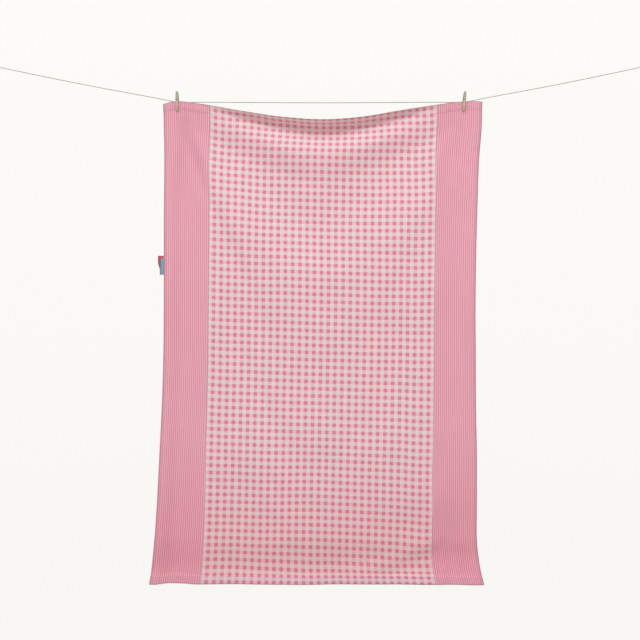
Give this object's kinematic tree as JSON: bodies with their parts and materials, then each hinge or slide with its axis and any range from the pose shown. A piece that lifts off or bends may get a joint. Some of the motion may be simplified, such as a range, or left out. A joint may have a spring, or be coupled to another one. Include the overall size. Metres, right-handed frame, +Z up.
{
  "type": "tablecloth on a clothesline with pegs",
  "caption": "Oblong gingham tablecloth with striped side borders and narrow hems, hanging in soft swags by its top corners from a clothesline held with wooden spring pegs.",
  "frame": {"origin": "the far end of the line's left loop, on the cord's centre, where a hook holds it", "axes": "+X along the line towards the right loop, +Z up, and the cloth's face looks along -Y"},
  "size_m": [2.5792, 0.0721, 1.9578],
  "materials": {
    "pink_cotton": "plain-woven cotton, matt",
    "red_ribbon": "woven ribbon",
    "blue_ribbon": "woven ribbon",
    "beech": "bare wood, a little weathered",
    "steel_wire": "galvanised wire",
    "cord": "twisted cotton cord"
  },
  "bodies": {
    "root": {"tablecloth": "pink_cotton", "red_ribbon": "red_ribbon", "blue_ribbon": "blue_ribbon", "left_peg_front": "beech", "left_peg_back": "beech", "left_peg_spring": "steel_wire", "right_peg_front": "beech", "right_peg_back": "beech", "right_peg_spring": "steel_wire", "line": "cord", "left_loop": "cord", "right_loop": "cord"}
  },
  "joints": []
}
